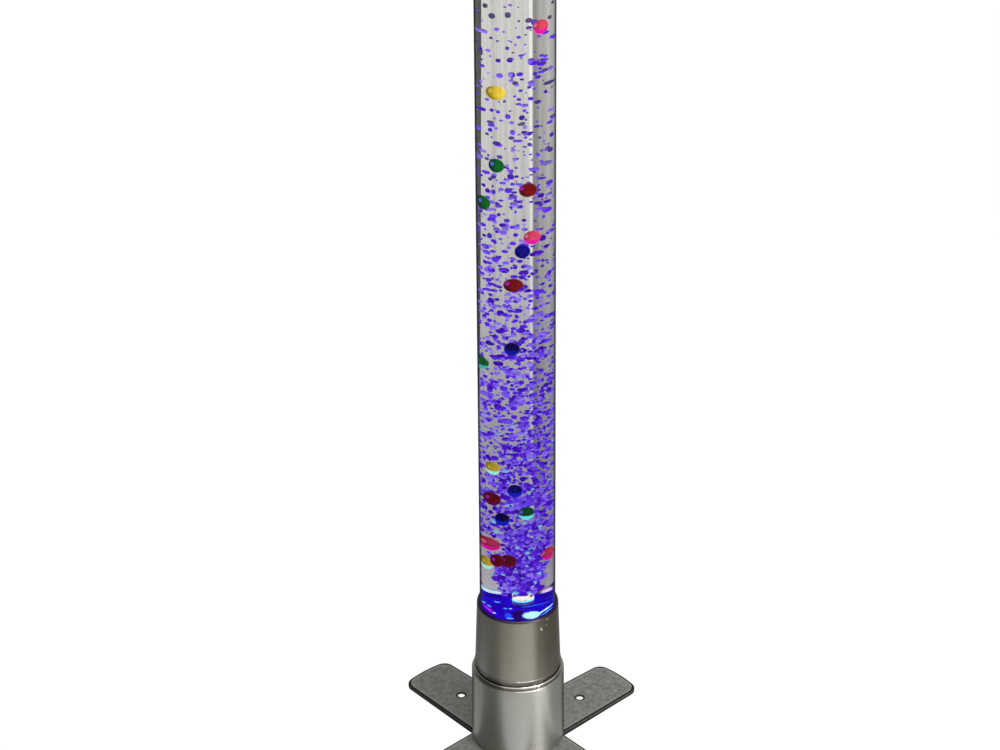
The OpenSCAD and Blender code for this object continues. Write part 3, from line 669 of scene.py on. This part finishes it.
def bubble_tree(material):
    """Geometry nodes: flattened bubbles, crowded over the stone and sparse towards the top."""
    tree = bpy.data.node_groups.new("rising_bubbles", "GeometryNodeTree")
    sizes = {
        "Count": ("NodeSocketInt", 3900),
        "Seed": ("NodeSocketInt", 7),
        "Foot": ("NodeSocketFloat", stone_high.z + 2.5 * MM),
        "Level": ("NodeSocketFloat", water_level - 2 * MM),
        "Reach": ("NodeSocketFloat", bore_radius - 3 * MM),
        "Ball gap": ("NodeSocketFloat", 10.2 * MM),
        "Balls": ("NodeSocketObject", None),
    }
    tree.interface.new_socket("Geometry", in_out="OUTPUT", socket_type="NodeSocketGeometry")
    for name, (kind, value) in sizes.items():
        socket = tree.interface.new_socket(name, in_out="INPUT", socket_type=kind)
        if value is not None:
            socket.default_value = value
    graph = Graph(tree)
    given = graph.node("NodeGroupInput")

    def chance(step, low=0.0, high=1.0):
        """Random number from low to high for each point, another one for each step."""
        made = graph.node("FunctionNodeRandomValue", {"data_type": "FLOAT"},
                          {"Seed": given.out("Seed") + float(step)})
        ends = [socket for socket in made.node.inputs if socket.enabled and socket.type == "VALUE"]
        ends[0].default_value, ends[1].default_value = low, high
        return Socket(graph, next(socket for socket in made.node.outputs if socket.enabled))

    # half of the bubbles are in the lowest fifth of the water
    luck = chance(1)
    height = 0.31 * luck + 0.27 * luck ** 3.0 + 0.42 * luck ** 14.0
    foot, level = given.out("Foot"), given.out("Level")
    z = foot + (level - foot) * height
    # the plume is narrow over the stone, and fills the bore from here up
    full_width = 120 * MM
    spread = (z - foot).between(-90 * MM, full_width)
    radius = given.out("Reach") * (chance(2) ** 0.5) * spread
    turn = chance(3, 0.0, 2 * math.pi)
    x = stone_centre.x * (1 - spread) + radius * turn.math("COSINE")
    y = stone_centre.y * (1 - spread) + 0.85 * radius * turn.math("SINE") - 3 * MM * spread
    place = graph.node("ShaderNodeCombineXYZ", None, [x, y, z])
    points = graph.node("GeometryNodePoints", None,
                        {"Count": given.out("Count"), "Position": place.out()})
    tinted = graph.node("GeometryNodeStoreNamedAttribute",
                        {"data_type": "FLOAT", "domain": "POINT"},
                        {"Geometry": points.out(), "Name": "tint", "Value": chance(4)})
    balls = graph.node("GeometryNodeObjectInfo", None, {"Object": given.out("Balls")})
    near = graph.node("GeometryNodeProximity", {"target_element": "POINTS"},
                      [balls.out("Geometry")])
    inside = graph.node("FunctionNodeCompare", {"operation": "LESS_THAN"},
                        [near.out("Distance"), given.out("Ball gap")])
    kept = graph.node("GeometryNodeDeleteGeometry", None,
                      {"Geometry": tinted.out(), "Selection": inside.out()})
    # a bubble's half width in mm, most of them small, and all of them larger higher up
    grown = 0.72 + 0.36 * (z - foot).between(90 * MM, 230 * MM)
    least, extra = 1.15, 2.3
    width = (least + extra * (chance(5) ** 1.4)) * MM * grown
    flat = width * chance(6, 0.6, 0.95)
    scale = graph.node("ShaderNodeCombineXYZ", None, [width, width * chance(7, 0.7, 1.0), flat])
    tilt = graph.node("ShaderNodeCombineXYZ", None,
                      [chance(8, -0.1, 0.1), chance(9, -0.1, 0.1), turn])
    bubble = graph.node("GeometryNodeMeshUVSphere", None,
                        {"Segments": 8, "Rings": 4, "Radius": 1.0})
    placed = graph.node("GeometryNodeInstanceOnPoints", None,
                        {"Points": kept.out(), "Instance": bubble.out(), "Rotation": tilt.out(),
                         "Scale": scale.out()})
    real = graph.node("GeometryNodeRealizeInstances", None, [placed.out()])
    smooth = graph.node("GeometryNodeSetShadeSmooth", None, {"Geometry": real.out()})
    dressed = graph.node("GeometryNodeSetMaterial", None,
                         {"Geometry": smooth.out(), "Material": material})
    graph.node("NodeGroupOutput", None, [dressed.out()])
    return tree


def grow(name, tree, inputs):
    """Runs a geometry node tree on an empty mesh and keeps the result as a plain mesh."""
    seed = bpy.data.objects.new(name + "_seed", bpy.data.meshes.new(name + "_seed"))
    bpy.context.scene.collection.objects.link(seed)
    modifier = seed.modifiers.new("nodes", "NODES")
    modifier.node_group = tree
    identifiers = {item.name: item.identifier for item in tree.interface.items_tree}
    for key, value in inputs.items():
        modifier[identifiers[key]] = value
    evaluated = seed.evaluated_get(bpy.context.evaluated_depsgraph_get())
    mesh = bpy.data.meshes.new_from_object(evaluated)
    mesh.name = name
    bpy.data.objects.remove(seed)
    piece = bpy.data.objects.new(name, mesh)
    bpy.context.scene.collection.objects.link(piece)
    return piece


def make_bubbles():
    """All the bubbles as one piece, which stays with the base as the water does."""
    guide = ball_stops()
    bubbles = grow("bubbles", bubble_tree(bubble_finish()), {"Balls": guide})
    bpy.data.objects.remove(guide)
    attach(bubbles, "base")


# ---- studio ----

def ray_kinds(graph):
    """1 for camera rays, for refracted rays and for mirrored rays, each as a Socket."""
    path = graph.node("ShaderNodeLightPath")
    refracted = path.out("Is Transmission Ray")
    return path.out("Is Camera Ray"), refracted, path.out("Is Glossy Ray") * (1.0 - refracted)


def mirrored_floor(graph, x, y):
    """What metal mirrors from the floor: a pale pool in front, wider near the base, dim sides."""
    angle = angle_from_front(x, y)
    far = graph.ramp_by_angle(angle, [
        (-180, 0.45), (-150, 0.35), (-100, 0.14), (-60, 0.16), (-48, (0.20, 0.19, 0.17)),
        (-40, (0.40, 0.37, 0.31)), (-12, (0.46, 0.42, 0.36)), (-4, (0.68, 0.68, 0.62)),
        (30, (0.76, 0.76, 0.70)), (42, (0.50, 0.48, 0.42)), (54, (0.17, 0.15, 0.11)),
        (110, (0.16, 0.14, 0.11)), (145, 0.35), (180, 0.45)])
    near = graph.ramp_by_angle(angle, [
        (-180, 0.5), (-90, 0.42), (-84, 0.42), (-78, 0.15), (-44, 0.15), (-36, 0.78), (-8, 0.80),
        (6, 0.92), (66, 0.98), (80, 0.42), (130, 0.36), (180, 0.5)])
    distance = (x ** 2.0 + y ** 2.0) ** 0.5
    far = graph.mix(distance.between(0.30, 0.48) * 0.35, far, (0.05, 0.045, 0.04))
    return graph.mix(distance.between(0.16, 0.27), near, far)


def floor_through_tube(graph, x, y):
    """What the tube shows of the floor behind it: faint upright stripes and a dark right side."""
    angle_from_back = x.math("ARCTAN2", y)
    stripes = graph.ramp_by_angle(angle_from_back, [
        (-180, 0.9), (-95, 0.86), (-72, 0.50), (-62, 0.45), (-54, 0.58), (-43, 0.60),
        (-40, 0.72), (-31, 0.68), (-29, 0.55), (-24, 0.62), (-20, 0.42), (-16.4, 0.34),
        (-15.9, 1.4), (-14.3, 1.4), (-13.4, 0.92), (180, 0.92)])
    past_line = x - 0.37 * y - 0.39  # metres beyond a line over the floor, on the right
    behind = 1.0 - angle_from_back.absolute().between(math.radians(62), math.radians(72))
    return graph.mix(past_line.between(0.0, 0.04) * behind, stripes, (0.048, 0.05, 0.044))


def make_floor():
    """Wide white floor: it takes shadows, and shows its own tones to the eye, tube and metal."""
    mesh = bpy.data.meshes.new("floor")
    far = 30.0
    corners = [(-far, -far, 0), (far, -far, 0), (far, far, 0), (-far, far, 0)]
    mesh.from_pydata(corners, [], [(0, 1, 2, 3)])
    floor = bpy.data.objects.new("floor", mesh)
    bpy.context.scene.collection.objects.link(floor)
    finish = Finish("white_floor", roughness=0.8, base_color=(0.75, 0.75, 0.75))
    camera, refracted, mirrored = ray_kinds(finish)
    tone = finish.mix(refracted, (1, 1, 1), floor_through_tube(finish, finish.x, finish.y))
    tone = finish.mix(mirrored, tone, mirrored_floor(finish, finish.x, finish.y))
    strength, share = 1.12, 0.84  # together with the lit paint, these come to plain white
    glow = finish.node("ShaderNodeEmission", None, {"Color": tone, "Strength": strength}).out()
    finish.blend_with(glow, camera.most(refracted).most(mirrored) * share)
    mesh.materials.append(finish.material)


def make_world():
    """Soft fill from all round, white to the eye, with a dark side for metal to mirror."""
    world = bpy.data.worlds.new("studio")
    world.use_nodes = True
    world.node_tree.nodes.clear()
    bpy.context.scene.world = world
    graph = Graph(world.node_tree)
    place = graph.node("ShaderNodeTexCoord").out("Generated")
    parts = graph.node("ShaderNodeSeparateXYZ", None, [place])
    sky = graph.ramp_by_angle(angle_from_front(parts.out("X"), parts.out("Y")), [
        (-180, 0.6), (-150, 0.3), (-110, 0.08), (-44, 0.08), (-36, 0.9), (98, 1.0), (110, 0.4),
        (150, 0.4), (180, 0.6)])
    camera, refracted, mirrored = ray_kinds(graph)
    fill = graph.mix(camera.most(refracted), (0.5, 0.5, 0.5), (1.0, 1.0, 1.0))
    light = graph.node("ShaderNodeBackground", None, {"Color": graph.mix(mirrored, fill, sky)})
    graph.node("ShaderNodeOutputWorld", None, [light.out()])


def add_lamp(name, place, aim, size, watts):
    """Soft rectangular studio light, turned from its place towards aim."""
    data = bpy.data.lights.new(name, "AREA")
    data.shape = "RECTANGLE"
    data.size, data.size_y = size
    data.energy = watts
    lamp = bpy.data.objects.new(name, data)
    lamp.location = place
    lamp.rotation_euler = (Vector(aim) - Vector(place)).to_track_quat("-Z", "Y").to_euler()
    bpy.context.scene.collection.objects.link(lamp)


def add_camera():
    """The photograph's view: its place, pitch, yaw and roll, found from the lamp's own edges."""
    data = bpy.data.cameras.new("camera")
    data.sensor_width = 36.0
    data.lens = 133.436
    pitch, yaw, roll = math.radians(31.3), math.radians(2.735), math.radians(-0.41)
    turn_to_front = Matrix.Rotation(math.radians(2.34), 4, "Z")
    place = turn_to_front @ Vector((5.35, -3231.51, 2423.58)) * MM
    turn = (Matrix.Rotation(yaw, 4, "Z") @ Matrix.Rotation(math.pi / 2 - pitch, 4, "X")
            @ Matrix.Rotation(roll, 4, "Z"))
    camera = bpy.data.objects.new("camera", data)
    camera.matrix_world = Matrix.Translation(place) @ turn
    bpy.context.scene.collection.objects.link(camera)
    bpy.context.scene.camera = camera


add_camera()
make_floor()
make_world()
add_lamp("key_light", (1.3, -1.7, 2.8), (0, 0, 0.4), (2.0, 2.0), 45)
add_lamp("band_light", (1.73, -1.40, 0.20), (0, 0, 0.04), (0.95, 0.4), 34)
dress_nodes()
make_water()
make_bubbles()

scene = bpy.context.scene
scene.view_settings.view_transform = "Standard"
